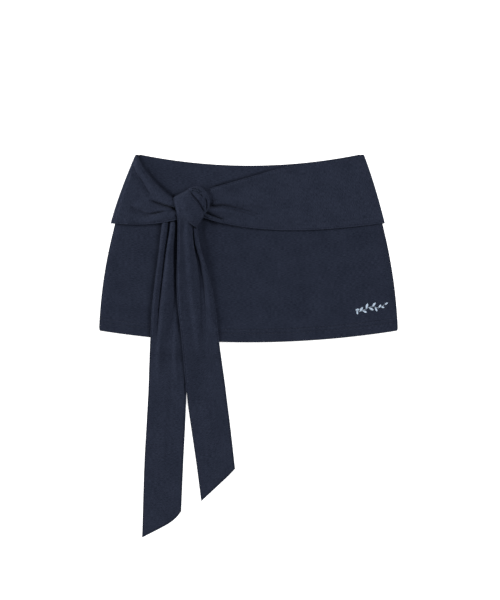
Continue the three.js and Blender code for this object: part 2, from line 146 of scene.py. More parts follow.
def cloth_sheet(name, across, down, place, thickness, rounded="left right top bottom", sewn=""):
    """A sheet of cloth. place gives the x, y and z of its middle for each grid line across and down.
    Along its sewn sides the cloth is pressed thinner where the seam allowance ends inside it."""
    bpy.ops.object.select_all(action="DESELECT")
    bpy.ops.mesh.primitive_grid_add(x_subdivisions=len(across) - 1, y_subdivisions=len(down) - 1, size=2)
    cloth = bpy.context.object
    cloth.name = cloth.data.name = name
    flat = np.empty(len(cloth.data.vertices) * 3)
    cloth.data.vertices.foreach_get("co", flat)
    flat = flat.reshape(-1, 3)
    column = np.rint((flat[:, 0] + 1) / 2 * (len(across) - 1)).astype(int)
    row = np.rint((1 - flat[:, 1]) / 2 * (len(down) - 1)).astype(int)

    grid_across, grid_down = np.meshgrid(across, down)
    points = np.stack(np.broadcast_arrays(*place(grid_across, grid_down)), axis=2)
    along_across, along_down = distance_along(points, 1), distance_along(points, 0)
    to_edges = {
        "left": along_across,
        "right": along_across[:, -1:] - along_across,
        "top": along_down,
        "bottom": along_down[-1:] - along_down,
    }
    to_edge = np.min([to_edges[side] for side in rounded.split()], axis=0)
    inside = 1 - np.clip(to_edge / (thickness / 2), 0, 1)
    fullness = np.sqrt(np.clip(1 - inside**2, THINNEST_EDGE, 1))
    if sewn:
        to_seam = np.min([to_edges[side] for side in sewn.split()], axis=0)
        fullness = fullness * (1 - 2 * SEAM_GROOVE / thickness * hump(to_seam - SEAM_FROM_EDGE, SEAM_SPREAD))

    cloth.data.vertices.foreach_set("co", all_in_row_frame(points[row, column]).ravel())
    middle = along_across[:, [len(across) // 2]]
    lay_pattern(cloth, np.stack([along_across - middle, -along_down], axis=2)[row, column] * MM)

    edge = cloth.vertex_groups.new(name="rounded edge")
    values = fullness[row, column]
    full = np.flatnonzero(values > 0.999)
    edge.add(full.tolist(), 1, "REPLACE")
    for index in np.flatnonzero(values <= 0.999):
        edge.add([int(index)], float(values[index]), "REPLACE")
    wall = cloth.modifiers.new("wall", "SOLIDIFY")
    wall.thickness, wall.offset = thickness * MM, 0
    wall.vertex_group = edge.name
    bpy.ops.object.modifier_apply(modifier=wall.name)
    cloth.vertex_groups.clear()
    bpy.ops.object.shade_smooth()
    return cloth


def new_finish(name, sockets):
    """A material with these values on its shader's own sockets."""
    material = bpy.data.materials.new(name)
    material.use_nodes = True
    nodes, links = material.node_tree.nodes, material.node_tree.links
    shader = nodes["Principled BSDF"]
    for socket, value in sockets.items():
        shader.inputs[socket].default_value = value
    return material, nodes, links, shader


def raise_surface(nodes, links, shader, height, strength, depth):
    """A relief of the surface, so many millimetres deep."""
    relief = nodes.new("ShaderNodeBump")
    relief.inputs["Strength"].default_value = strength
    relief.inputs["Distance"].default_value = depth * MM
    links.new(height, relief.inputs["Height"])
    links.new(relief.outputs["Normal"], shader.inputs["Normal"])


def jersey(name, yarns, knit_depth):
    """Heathered jersey. The streaks of its yarns run across the piece, on the piece's own UVs."""
    material, nodes, links, shader = new_finish(name, {
        "Roughness": 0.92, "Specular IOR Level": 0.06,
        "Sheen Weight": 0.03, "Sheen Roughness": 0.55, "Sheen Tint": (0.55, 0.62, 0.8, 1),
    })
    surface = nodes.new("ShaderNodeTexCoord")

    def node(kind, **settings):
        made = nodes.new(kind)
        for key, value in settings.items():
            setattr(made, key, value)
        return made

    def mottle(length, width, detail):
        stretched = node("ShaderNodeMapping")
        stretched.inputs["Scale"].default_value = (1 / length / MM, 1 / width / MM, 1)
        links.new(surface.outputs["UV"], stretched.inputs["Vector"])
        noise = node("ShaderNodeTexNoise", noise_dimensions="2D")
        noise.inputs["Scale"].default_value = 1
        noise.inputs["Detail"].default_value = detail
        links.new(stretched.outputs["Vector"], noise.inputs["Vector"])
        return noise.outputs["Fac"]

    def calculate(operation, first, second=None):
        made = node("ShaderNodeMath", operation=operation)
        for socket, value in zip(made.inputs, (first, second)):
            if isinstance(value, (int, float)):
                socket.default_value = value
            elif value is not None:
                links.new(value, socket)
        return made.outputs["Value"]

    heather = calculate("MULTIPLY", mottle(*YARN_STREAK, 3), 0.55)
    patches = calculate("MULTIPLY", mottle(32, 24, 2), 0.14)
    fibres = calculate("MULTIPLY", mottle(1.6, 0.7, 2), 0.31)
    tone = calculate("ADD", calculate("ADD", heather, patches), fibres)
    colour = node("ShaderNodeValToRGB")
    for stop, position, yarn in zip(colour.color_ramp.elements, (0.38, 0.62), yarns):
        stop.position, stop.color = position, (*yarn, 1)
    links.new(tone, colour.inputs["Fac"])
    links.new(colour.outputs["Color"], shader.inputs["Base Color"])

    # Knit: each wale is a stack of V stitches.
    axes = node("ShaderNodeSeparateXYZ")
    links.new(surface.outputs["UV"], axes.inputs["Vector"])
    wale = calculate("MULTIPLY", axes.outputs["X"], 1 / WALE_WIDTH / MM)
    course = calculate("MULTIPLY", axes.outputs["Y"], 1 / COURSE_HEIGHT / MM)
    leg = calculate("PINGPONG", wale, 0.5)
    slanted = calculate("ADD", course, calculate("MULTIPLY", leg, 1.6))
    loops = calculate("SINE", calculate("MULTIPLY", slanted, math.tau))
    legs = calculate("ABSOLUTE", calculate("SINE", calculate("MULTIPLY", wale, math.tau)))
    knit = calculate("ADD", calculate("MULTIPLY", loops, 0.3), calculate("MULTIPLY", legs, 0.6))
    raise_surface(nodes, links, shader, calculate("ADD", knit, heather), 0.35, knit_depth)
    return material


def dress(piece, material, slot, *nodes):
    """Gives a piece its finish and its body, and lets it stand for its nodes."""
    piece.data.materials.clear()
    piece.data.materials.append(material)
    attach(piece, "root")
    if nodes:
        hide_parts(*nodes)


def turned_hem(length):
    """For lengths down the cloth: the share of the way down the panel, and how far the cloth has
    turned in at the hem."""
    angle = np.clip((length - SIDE_LENGTH) / HEM_TURN_RADIUS, 0, math.pi)
    back_up = np.maximum(0, length - SIDE_LENGTH - HEM_TURN)
    outside = np.minimum(length, SIDE_LENGTH) + HEM_TURN_RADIUS * np.sin(angle) - back_up
    down = (outside - HEM_TURN_RADIUS) / (SIDE_LENGTH - HEM_TURN_RADIUS)
    return down, HEM_TURN_RADIUS * (1 - np.cos(angle))


def hem_relief(y, across, down):
    """Troughs that the two stitch rows pull into the hem, the swelling between them, and the ridge
    where the allowance ends."""
    above = y - body_y(across, np.ones_like(down))
    return sum(line["high"] * hump(above - line["above"], line["spread"]) for line in HEM_RELIEF)


def back_level(down):
    return mix(BACK_UNDER_SASH, BACK_IN_FIELD, smooth(down, STEP_START, BACK_STEP_END))


def back_place(across, length):
    down, inward = turned_hem(length)
    x = body_centre(down) + across * (half_width(down) - SEAM_TURN)
    return x, body_y(across, down), back_level(down) + inward


ALLOWANCE_END = SIDE_LENGTH + HEM_TURN + HEM_ALLOWANCE
BACK_LINES = cloth_lines(
    0, (1, 0.25), (250, 4), (278, 2), (SIDE_LENGTH + HEM_TURN, 0.25), (ALLOWANCE_END, 4),
)

body_jersey = jersey("navy heather jersey", NAVY_YARNS, 0.1)
back_panel = cloth_sheet("back_panel_cloth", cloth_lines(-1, (1, 0.015)), BACK_LINES, back_place, JERSEY)
dress(back_panel, body_jersey, "body_jersey", "back_panel")

# Front panel: the same cut and jersey as the back, laid on it. It lifts a little over the turned-up
# hem, and the knot drags a few soft folds into it.
FRONT_UNDER_SASH, FRONT_IN_FIELD, FRONT_AT_HEM = 5.1, 2.8, 4.5
FRONT_STEP_END = STEP_START + 0.17
HEM_START = 1 - HEM_ALLOWANCE / SIDE_LENGTH
HEM_RISE_START, HEM_RISE_END = HEM_START - 0.06, HEM_START - 0.006
SIDE_BEND, SIDE_REST = 10, 0.35
BODY_FOLDS = [
    {"name": "ridge under the knot", "high": 1.9, "left": 4.5, "right": 5, "grow": 8, "fade": 34,
     "line": [(-67, -98), (-66, -113), (-65, -130), (-61, -156)]},
    {"name": "trough right of it", "high": -1.3, "left": 6, "right": 7, "grow": 6, "fade": 34,
     "line": [(-56, -100), (-56.5, -114), (-55, -134), (-50, -160)]},
    {"name": "drag to the right", "high": 0.7, "left": 10, "right": 14, "grow": 10, "fade": 90,
     "line": [(-44, -112), (-20, -140), (22, -178), (70, -205)]},
    {"name": "drag to the left", "high": 0.6, "left": 9, "right": 12, "grow": 10, "fade": 70,
     "line": [(-146, -108), (-166, -140), (-186, -178), (-200, -205)]},
    {"name": "pressed in by the right arm", "high": -1.1, "left": 1.8, "right": 3, "grow": 4, "fade": 20,
     "line": [(-58, -52), (-20, -41.2), (20, -29.6), (50, -21), (72, -15)]},
    {"name": "swelling beside it", "high": 1.7, "left": 8, "right": 2.6, "grow": 6, "fade": 36,
     "line": [(-60, -49.2), (-20, -37.8), (20, -26.2), (48, -18.2)]},
    {"name": "pressed in by the left arm", "high": -1.1, "left": 2, "right": 3, "grow": 10, "fade": 2,
     "line": [(-166.6, -19), (-152.6, -37.8), (-135, -55.6), (-117, -70.6)]},
    {"name": "waist drag", "high": 0.8, "left": 6, "right": 8, "grow": 16, "fade": 8,
     "line": [(-118, -22), (-108, -34), (-98, -46), (-92, -56)]},
    {"name": "second waist drag", "high": 0.7, "left": 6, "right": 6, "grow": 16, "fade": 6,
     "line": [(-40, -22), (-56, -32), (-70, -42), (-80, -50)]},
]


def smooth_line(points):
    """A smooth curve through the points, as close points on it."""
    knots = np.array([points[0], *points, points[-1]], float)
    share = np.linspace(0, 1, 9)[:-1, None]
    curve = []
    for before, start, end, after in zip(knots, knots[1:], knots[2:], knots[3:]):
        bend = (2 * before - 5 * start + 4 * end - after) * share**2
        twist = (3 * start - before - 3 * end + after) * share**3
        curve.append((2 * start + (end - before) * share + bend + twist) / 2)
    return np.vstack([*curve, knots[-1:]])


def beside_line(x, y, line):
    """Signed distance of each place from a line, positive on the right as one goes along it, the
    length along it where it is nearest, and its whole length."""
    curve = smooth_line(line)
    nearest = np.full(np.shape(x), np.inf)
    side, along = np.zeros_like(nearest), np.zeros_like(nearest)
    run = 0
    for (ax, ay), (bx, by) in zip(curve, curve[1:]):
        dx, dy = bx - ax, by - ay
        length = math.hypot(dx, dy)
        if length < 1e-9:
            continue
        share = np.clip(((x - ax) * dx + (y - ay) * dy) / length**2, 0, 1)
        away = np.hypot(x - ax - share * dx, y - ay - share * dy)
        right = ((y - ay) * -dx + (x - ax) * dy) / length
        closer = away < nearest
        nearest = np.where(closer, away, nearest)
        side = np.where(closer, np.where(right < 0, -away, away), side)
        along = np.where(closer, run + share * length, along)
        run += length
    return side, along, run


def fold_relief(x, y, folds):
    """Height that folds add at each place. A fold is a ridge or, below zero, a crease along its line,
    with its half widths to the left and the right of it. Several values mean that it changes evenly
    along the line. A roll has a rounder back and steeper sides. It grows and fades over 1 mm at its
    ends, or as far as it says."""
    height = np.zeros(np.shape(x))
    for fold in folds:
        side, along, length = beside_line(x, y, fold["line"])
        high, left, right = (
            np.interp(along / length, np.linspace(0, 1, np.size(fold[key])), np.atleast_1d(fold[key]))
            for key in ("high", "left", "right")
        )
        offset = side / np.where(side < 0, left, right)
        profile = np.clip(1 - offset**2, 0, 1) ** 0.8 if fold.get("roll") else np.exp(-(offset**2))
        grown = smooth(along, 0, fold.get("grow", 1)) * smooth(length - along, 0, fold.get("fade", 1))
        height += high * profile * grown
    return height


def front_level(down):
    fall = smooth(down, STEP_START, FRONT_STEP_END)
    rise = smooth(down, HEM_RISE_START, HEM_RISE_END)
    return mix(mix(FRONT_UNDER_SASH, FRONT_IN_FIELD, fall), FRONT_AT_HEM, rise)


def front_place(across, length):
    down, inward = turned_hem(length)
    x = body_centre(down) + across * (half_width(down) - SEAM_TURN)
    y = body_y(across, down)
    seam = back_level(down) + JERSEY + SIDE_REST
    bend = np.clip(1 - half_width(down) * (1 - np.abs(across)) / SIDE_BEND, 0, 1) ** 2
    field = front_level(down)
    level = mix(field, np.minimum(field, seam), bend * (1 - smooth(down, HEM_RISE_START, HEM_RISE_END)))
    outside = length <= SIDE_LENGTH
    relief = (fold_relief(x, y, BODY_FOLDS) + hem_relief(y, across, down)) * outside * (1 - bend)
    return x, y, level + relief - inward


def down_the_body(x, y):
    """Share across and down the body of a place in the picture."""
    down, across = -y / SIDE_LENGTH, np.zeros(np.shape(x))
    for _ in range(4):
        across = np.clip((x - body_centre(down)) / half_width(down), -1, 1)
        down = down + (body_y(across, down) - y) / SIDE_LENGTH
    return across, down


FRONT_LINES = cloth_lines(
    0, (1, 0.25), (60, 1.1), (75, 1.6), (200, 2.4), (254, 2.4), (267, 0.6), (276.6, 2), (278, 0.35),
    (SIDE_LENGTH + HEM_TURN, 0.25), (ALLOWANCE_END, 4),
)
FRONT_ACROSS = cloth_lines(-1, (-0.96, 0.005), (0.96, 0.011), (1, 0.005))
front_panel = cloth_sheet("front_panel_cloth", FRONT_ACROSS, FRONT_LINES, front_place, JERSEY)
dress(front_panel, body_jersey, "body_jersey", "front_panel")

# Side seams: front and back are joined with their edges turned in, so each side shows one soft
# rounded edge of the body's jersey from under the sash to the hem.
SEAM_BULGE = 0.66
SEAM_CLOTH = 0.9 * JERSEY
SEAM_LINES = cloth_lines(100, (279.4, 3))
SEAM_ROUND = cloth_lines(-90, (90, 15))


def seam_place(side):
    def place(around, length):
        down, turn = length / SIDE_LENGTH, np.radians(around)
        _, _, front = front_place(np.full(down.shape, float(side)), length)
        x = body_centre(down) + side * (half_width(down) - SEAM_TURN + SEAM_BULGE * np.cos(turn))
        return x, body_y(1, down), mix(back_level(down), front, (1 - side * np.sin(turn)) / 2)
    return place


for side, where in ((-1, "left"), (1, "right")):
    seam = cloth_sheet(
        f"side_seam_{where}", SEAM_ROUND, SEAM_LINES, seam_place(side), SEAM_CLOTH, "top bottom",
    )
    dress(seam, body_jersey, "body_jersey")

# Hem stitching: two rows of a twin-needle machine hold the turned-up allowance, front and back. The
# stitches are spun polyester thread of the jersey's own navy.
STITCH, STITCH_PITCH, THREAD = 2.9, 4.7, 0.5
STITCHES_TO_SIDE = 3
FRONT_STITCH_LIFT, BACK_STITCH_LEVEL = 0.08, 0.3
THREAD_NAVY = (0.0150, 0.0185, 0.0320)


def thread_finish(name, colour, roughness, sheen):
    """Spun thread, with a fine slanted twist."""
    material, nodes, links, shader = new_finish(
        name, {"Roughness": roughness, "Specular IOR Level": 0.25, "Sheen Weight": sheen},
    )
    place = nodes.new("ShaderNodeTexCoord")
    twist = nodes.new("ShaderNodeTexWave")
    twist.bands_direction = "DIAGONAL"
    twist.inputs["Scale"].default_value = 900
    twist.inputs["Distortion"].default_value = 1.5
    links.new(place.outputs["Object"], twist.inputs["Vector"])
    tone = nodes.new("ShaderNodeValToRGB")
    for stop, share in zip(tone.color_ramp.elements, (0.82, 1)):
        stop.color = (*[share * c for c in colour], 1)
    links.new(twist.outputs["Fac"], tone.inputs["Fac"])
    links.new(tone.outputs["Color"], shader.inputs["Base Color"])
    raise_surface(nodes, links, shader, twist.outputs["Fac"], 0.4, 0.05)
    return material


def sewn_threads(name, runs, thread):
    """One mesh of threads. A run gives a thread's start and end on the cloth, each as x, y and z."""
    bpy.ops.object.select_all(action="DESELECT")
    bpy.ops.mesh.primitive_uv_sphere_add(segments=8, ring_count=6, radius=1)
    one = bpy.context.object
    shape = np.array([v.co for v in one.data.vertices])
    faces = [tuple(f.vertices) for f in one.data.polygons]
    bpy.data.objects.remove(one)
    points, all_faces = [], []
    for start, end in runs:
        start, end = np.array(start, float), np.array(end, float)
        along = (end - start) / 2
        across = np.cross((0, 0, 1), along)
        across /= np.linalg.norm(across)
        up = np.cross(along, across)
        up /= np.linalg.norm(up)
        first = len(points) * len(shape)
        girth = (shape[:, 1:2] * across - shape[:, :1] * up) * thread / 2
        points.append((start + end) / 2 + shape[:, 2:] * along + girth)
        all_faces.extend(tuple(first + i for i in face) for face in faces)
    mesh = bpy.data.meshes.new(name)
    mesh.from_pydata(all_in_row_frame(np.vstack(points)).tolist(), [], all_faces)
    sewn = bpy.data.objects.new(name, mesh)
    bpy.context.scene.collection.objects.link(sewn)
    bpy.context.view_layer.objects.active = sewn
    sewn.select_set(True)
    bpy.ops.object.shade_smooth()
    return sewn


def front_surface(x, y):
    """Height of the front panel's upper face at a place in the picture."""
    across, down = down_the_body(np.array([x], float), np.array([y], float))
    _, _, z = front_place(across, down * SIDE_LENGTH)
    return float(z[0]) + JERSEY / 2


def hem_stitches(height_at):
    """Where each stitch of the two rows starts and ends."""
    runs = []
    for row in TWIN_NEEDLE_ROWS:
        reach = half_width(1 - row / SIDE_LENGTH) - STITCHES_TO_SIDE
        for x in np.arange(-reach, reach - STITCH, STITCH_PITCH):
            ends = []
            for end in (x, x + STITCH):
                y = body_y(end / half_width(1), 1) + row
                ends.append((end, y, height_at(end, y)))
            runs.append(ends)
    return runs


navy_thread = thread_finish("navy sewing thread", THREAD_NAVY, 0.8, 0.05)
for where, height_at in (
    ("front", lambda x, y: front_surface(x, y) + FRONT_STITCH_LIFT),
    ("back", lambda x, y: BACK_STITCH_LEVEL),
):
    dress(sewn_threads(f"hem_stitching_{where}", hem_stitches(height_at), THREAD), navy_thread, "body_jersey")

# Sash across the back: a wide band of doubled jersey, sewn and turned, on which the body lies. At
# each side it turns up round the body to meet its front arm.
SASH, BAND_OVERHANG, BAND_LEAN = 2, 5.6, 1.6
WRAP_RADIUS, ARM_LEVEL = 3.1, 7.2
SIDE_TURN, TURN_LINES = math.pi / 2 - 0.03, 8
SASH_YARNS = ((0.0088, 0.0116, 0.0214), (0.0214, 0.0262, 0.0444))


def sash_flat_half(down):
    return half_width(down) + BAND_OVERHANG - SASH / 2 - WRAP_RADIUS


def sash_centre(down):
    """The sash is pulled a little towards the knot, most of all at its lower edge."""
    return body_centre(down) - BAND_LEAN * smooth(down, 0, BAND_END)


def sash_side(side, down):
    return np.array([
        sash_centre(down) + side * sash_flat_half(down),
        body_y(sash_flat_half(down) / half_width(down), down),
    ])


def sash_back_place(across, length):
    down = length / SIDE_LENGTH
    side, flat = np.sign(across), np.clip(across, -1, 1)
    turn = np.maximum(0, np.abs(across) - 1) * SIDE_TURN
    half = sash_flat_half(down)
    x = sash_centre(down) + flat * half + side * WRAP_RADIUS * np.sin(turn)
    return x, body_y(flat * half / half_width(down), down), SASH / 2 + WRAP_RADIUS * (1 - np.cos(turn))


sash_jersey = jersey("navy ribbed sash jersey", SASH_YARNS, 0.13)
sash_across = np.concatenate([
    np.linspace(-2, -1, TURN_LINES), np.linspace(-1, 1, 120)[1:-1], np.linspace(1, 2, TURN_LINES),
])
sash_down = cloth_lines(0, (1.2, 0.3), (108.8, 2.4), (BAND_DEPTH, 0.3))
sash_back = cloth_sheet(
    "sash_back_cloth", sash_across, sash_down, sash_back_place, SASH, "top bottom", "top bottom",
)
dress(sash_back, sash_jersey, "sash_jersey", "sash_back")

# Left arm of the sash: from the left side its width gathers into the knot. Its upper edge is rolled,
# two deep creases run into the knot, and its lower edge is a sewn one.
LEFT_ARM = {
    "side": -1,
    "upper": [(-168, -27), (-144, -52), (-115.5, -73)],
    "lower": [(-185, -114), (-140, -112), (-113.4, -104)],
    "end_bulge": 0, "side_lift": 2.2, "upper_lift": 4, "lower_lift": 7, "lift_start": 0.25,
    "folds": [
        {"name": "edge turns down", "high": -2.2, "left": 2.5, "right": 3, "grow": 4,
         "line": [(-177, -1), (-167.5, -19.8), (-153.5, -38.7), (-135.9, -56.5), (-115.5, -73)]},
        {"name": "upper roll", "high": (1.6, 2.2, 2.8, 3.2), "left": 6.5, "right": 5, "grow": 8,
         "line": [(-180, -8), (-167.5, -32), (-158, -45), (-148.5, -57.5), (-139, -67.5), (-129, -73),
                  (-115, -81)]},
        {"name": "line under the roll", "high": (-4, -4, -3, -1.6), "left": 1.4, "right": 5.5, "grow": 4,
         "fade": 20,
         "line": [(-183.5, -17), (-179.2, -29), (-169.6, -42), (-160, -57.5), (-151, -68), (-144, -73.5)]},
        {"name": "deep crease", "high": -8, "left": 1.5, "right": 3, "grow": 14,
         "line": [(-160, -73.2), (-150.4, -74.8), (-140.8, -78), (-131.2, -81.2), (-121.6, -84),
                  (-113, -87)]},
        {"name": "puff between the creases", "high": 3, "left": 5, "right": 5, "grow": 20, "fade": 8,
         "line": [(-186, -76), (-180, -80.5), (-169.6, -80.5), (-160, -83), (-150.4, -85.5), (-140.8, -87.5),
                  (-131, -87.5), (-121, -88.5)]},
        {"name": "long crease", "high": (-4, -6.5, -6, -3), "left": 1.6, "right": 3.2, "grow": 10,
         "fade": 14,
         "line": [(-190, -80), (-179.2, -88.8), (-169.6, -92), (-160, -95.2), (-150.4, -93.6), (-140.8, -92),
                  (-128, -90.6)]},
        {"name": "lower roll", "high": 2.2, "left": 6, "right": 5, "grow": 10,
         "line": [(-200, -107), (-188, -107), (-170, -106.5), (-150, -104.5), (-141, -101), (-131, -99.5),
                  (-122, -97.5), (-114, -94)]},
        {"name": "tuck at the wrap", "high": -1.4, "left": 1.6, "right": 4, "grow": 5, "fade": 4,
         "line": [(-117.6, -76), (-117, -88), (-115, -98), (-114, -106)]},
    ],
}


def bezier(points, share):
    """A place on the curve that four points set."""
    rest = 1 - share
    weights = (rest**3, 3 * rest**2 * share, 3 * rest * share**2, share**3)
    return [sum(w * p[axis] for w, p in zip(weights, points)) for axis in (0, 1)]


def arm_plan(arm, across, to_knot):
    """x and y of the arm's cloth, from its side at 0 to the knot at 1."""
    side = arm["side"]
    if "upper" in arm:
        upper_x, upper_y = bezier([sash_side(side, 0), *arm["upper"]], to_knot)
    else:
        upper_x, upper_y = right_upper_edge(arm, to_knot)
    lower_x, lower_y = bezier([sash_side(side, BAND_END), *arm["lower"]], to_knot)
    top, foot = sash_side(side, 0), sash_side(side, BAND_END)
    share = BAND_END * across
    hip_x = sash_centre(share) + side * sash_flat_half(share) - mix(top[0], foot[0], across)
    hip_y = body_y(sash_flat_half(share) / half_width(share), share) - mix(top[1], foot[1], across)
    straighten = (1 - to_knot) ** 3
    x = mix(upper_x, lower_x, across) + hip_x * straighten
    y = mix(upper_y, lower_y, across) + hip_y * straighten
    return x + arm["end_bulge"] * 4 * across * (1 - across) * to_knot**8, y


def arm_place(arm):
    """The arm's cloth turns up round the side, and its folds rise towards the knot."""
    def place(across, to_knot):
        share = np.maximum(0, to_knot)
        x, y = arm_plan(arm, across, share)
        lift = mix(arm["upper_lift"], arm["lower_lift"], smooth(across, 0.2, 0.8))
        lift = arm["side_lift"] * smooth(share, 0, 0.05) + lift * smooth(share, arm["lift_start"], 1)
        lift = lift + fold_relief(x, y, arm["folds"])
        turn = np.maximum(0, -to_knot) * SIDE_TURN
        level = ARM_LEVEL - WRAP_RADIUS * (1 - np.cos(turn)) + np.maximum(0, lift)
        return x + arm["side"] * WRAP_RADIUS * np.sin(turn), y, level
    return place


ARM_ACROSS = cloth_lines(0, (4, 0.4), (106, 1.2), (BAND_DEPTH, 0.4)) / BAND_DEPTH


def sash_arm(name, arm, lines):
    """The grid runs across the arm, so that its cloth faces up, and along it from the turn at the
    side, which is at -1 to 0, to the knot at 1."""
    across = ARM_ACROSS if arm["side"] < 0 else ARM_ACROSS[::-1]
    to_knot = np.concatenate([np.linspace(-1, 0, TURN_LINES), np.linspace(0, 1, lines)[1:]])
    return cloth_sheet(name, across, to_knot, arm_place(arm), SASH, "left right bottom", "left right")


left_arm = sash_arm("sash_arm_left_cloth", LEFT_ARM, 100)
dress(left_arm, sash_jersey, "sash_jersey", "sash_arm_left")

# Right arm of the sash: it lies across most of the front. Its upper edge follows the waist and then
# runs straight to the knot, where the cloth gathers into creases round a narrow roll below.
RIGHT_ARM = {
    "side": 1,
    "lower": [(130, -121), (20, -132), (-75, -100)],
    "upper_end": -71.4, "pull_at_centre": -36.4, "pull_slope": 0.289, "pull_blend": 2.5,
    "end_bulge": 9.5, "side_lift": 1.2, "upper_lift": 3.2, "lower_lift": 3.6, "lift_start": 0.5,
    "folds": [
        {"name": "pulled edge", "high": 1.8, "left": 7, "right": 5, "grow": 50,
         "line": [(100, -12), (60, -21.5), (20, -33), (-20, -44.6), (-62, -56.8)]},
        {"name": "upper roll", "high": 1.5, "left": 7, "right": 8, "grow": 50,
         "line": [(10, -42), (-16, -50), (-42, -58), (-68, -67)]},
        {"name": "dip beside the turn", "high": -0.6, "left": 3.2, "right": 3.2, "grow": 6, "fade": 6,
         "line": [(-59, -60), (-58.5, -68), (-59, -78)]},
        {"name": "upper crease", "high": -1, "left": 2.6, "right": 1.2, "grow": 16,
         "line": [(-34, -74), (-46, -73), (-54, -73), (-66, -75.5)]},
        {"name": "ridge over the long crease", "high": 2, "left": 4, "right": 9, "grow": 50, "fade": 6,
         "line": [(60, -84), (30, -81.5), (0, -79), (-28, -77), (-47, -78), (-60, -79)]},
        {"name": "long crease", "high": (-3, -5, -7, -7), "left": 1.6, "right": 3.6, "grow": 40,
         "line": [(34, -98), (13, -96.5), (-3.2, -92), (-16, -88.8), (-28.8, -85.6), (-41.6, -82.6),
                  (-54.4, -83.6), (-66, -82.5)]},
        {"name": "middle roll", "high": 2.4, "left": 5, "right": 5.5, "grow": 60,
         "line": [(20, -102), (0, -99), (-16, -96), (-30, -92), (-42, -90), (-56, -88.5), (-68, -87)]},
        {"name": "lower crease", "high": -6, "left": 1.4, "right": 3.2, "grow": 16,
         "line": [(-32, -106), (-44, -103.2), (-54.4, -99.4), (-62, -96.6), (-70, -93)]},
        {"name": "lower roll", "high": 2, "left": 2.6, "right": 3, "grow": 50,
         "line": [(8, -116), (-14, -111.6), (-35, -107.6), (-51, -104.2), (-62, -99.6), (-72, -93)]},
        {"name": "long gather", "high": 0.9, "left": 7, "right": 9, "grow": 60, "fade": 50,
         "line": [(84, -66), (46, -70), (10, -72), (-20, -74)]},
        {"name": "second gather", "high": 0.8, "left": 9, "right": 6, "grow": 60, "fade": 30,
         "line": [(120, -92), (70, -100), (28, -106), (-10, -104)]},
        {"name": "soft drag", "high": 0.7, "left": 10, "right": 8, "grow": 50, "fade": 40,
         "line": [(150, -40), (100, -44), (60, -46), (20, -50)]},
        {"name": "band seam", "high": -0.6, "left": 0.9, "right": 1.3, "grow": 4, "fade": 40,
         "line": [(214, -97.6), (196.5, -100), (176.6, -103.7), (154.9, -106), (130, -107.3), (112, -108)]},
    ],
}


def right_upper_edge(arm, to_knot):
    """The upper edge follows the waist, and from where they meet the straight pull to the knot."""
    x = mix(sash_side(arm["side"], 0)[0], arm["upper_end"], to_knot)
    waist = body_y((x - WAIST_SHIFT) / (WAIST / 2), 0)
    pull = arm["pull_at_centre"] + arm["pull_slope"] * x
    blend = arm["pull_blend"] * hump(waist - pull, 2 * arm["pull_blend"]) * smooth(to_knot, 0, 0.3)
    return x, np.minimum(waist, pull) - blend


right_arm = sash_arm("sash_arm_right_cloth", RIGHT_ARM, 200)
dress(right_arm, sash_jersey, "sash_jersey", "sash_arm_right")

# Left tail: the sash's left end comes out under the knot in two tight rolls, lies on the front and
# goes on past the hem to a slanted sewn end. Its sections are so many millimetres below the waist.
LEFT_TAIL = {
    "sections": [
        {"at": 101, "left": -136.5, "right": -101},
        {"at": 114, "left": -138.4, "right": -100.5, "lift_middle": 0.6},
        {"at": 154, "left": -142.7, "right": -99.5, "lift_middle": 0.6},
        {"at": 197, "left": -148.5, "right": -99, "lift_middle": 0.3},
        {"at": 240, "left": -153.6, "right": -98.5},
        {"at": 283, "left": -156.2, "right": -98.2},
        {"at": 330, "left": -158.6, "right": -98.4},
        {"at": 372, "left": -160, "right": -98.9},
        {"at": 430, "left": -163.1, "right": -101.1},
        {"at": 493, "left": -166.6, "right": -104.3},
        {"at": 612, "left": -170.2, "right": -109.4},
    ],
    "start": 101, "end": 612, "end_slant": 31.5, "end_corner": 0.34,
    "folds": [
        {"name": "outer roll", "roll": True, "high": (7, 6, 5, 4.4, 4), "left": (5, 6, 7.5, 8, 8),
         "right": 4, "grow": 7, "fade": 70,
         "line": [(-133.4, -103), (-135.2, -124), (-140, -156), (-144.6, -188), (-149.2, -220),
                  (-152.4, -252), (-154, -280), (-155, -320)]},
        {"name": "second roll", "roll": True, "high": (8.5, 8, 7, 6, 5), "left": (4.4, 6, 11.5, 16, 14, 10),
         "right": (3.6, 5, 6, 6.5), "grow": 7, "fade": 70,
         "line": [(-120.5, -103), (-122.4, -124), (-127, -156), (-130.4, -188), (-133.6, -220),
                  (-136.8, -252), (-138.6, -284), (-140, -310)]},
        {"name": "lower ridge", "high": 2.4, "left": 7, "right": 4.5, "grow": 60, "fade": 50,
         "line": [(-137, -240), (-139, -275), (-142, -305), (-143.4, -335), (-143, -372)]},
        {"name": "trough below the second roll", "high": -0.8, "left": 4, "right": 4, "grow": 20, "fade": 40,
         "line": [(-120, -252), (-121.6, -268), (-123.2, -284), (-124.8, -300), (-124, -316),
                  (-126.4, -348)]},
        {"name": "ridge beside the gap", "high": 1.8, "left": 4, "right": 4, "grow": 40, "fade": 40,
         "line": [(-116, -235), (-116.5, -270), (-116.8, -300), (-116, -340), (-112, -375)]},
        {"name": "lower fold", "high": 0.8, "left": 5, "right": 9, "grow": 60, "fade": 120,
         "line": [(-130, -330), (-132, -390), (-136, -460), (-140, -540)]},
    ],
}
TAIL_WIDTH, TAIL_GAP = 58, 0.3
TABLE_LEVEL, FRONT_FACE = 0, 0.6
TAIL_STEP_START, TAIL_STEP_END, TAIL_BRIDGE = 4, 30, 8


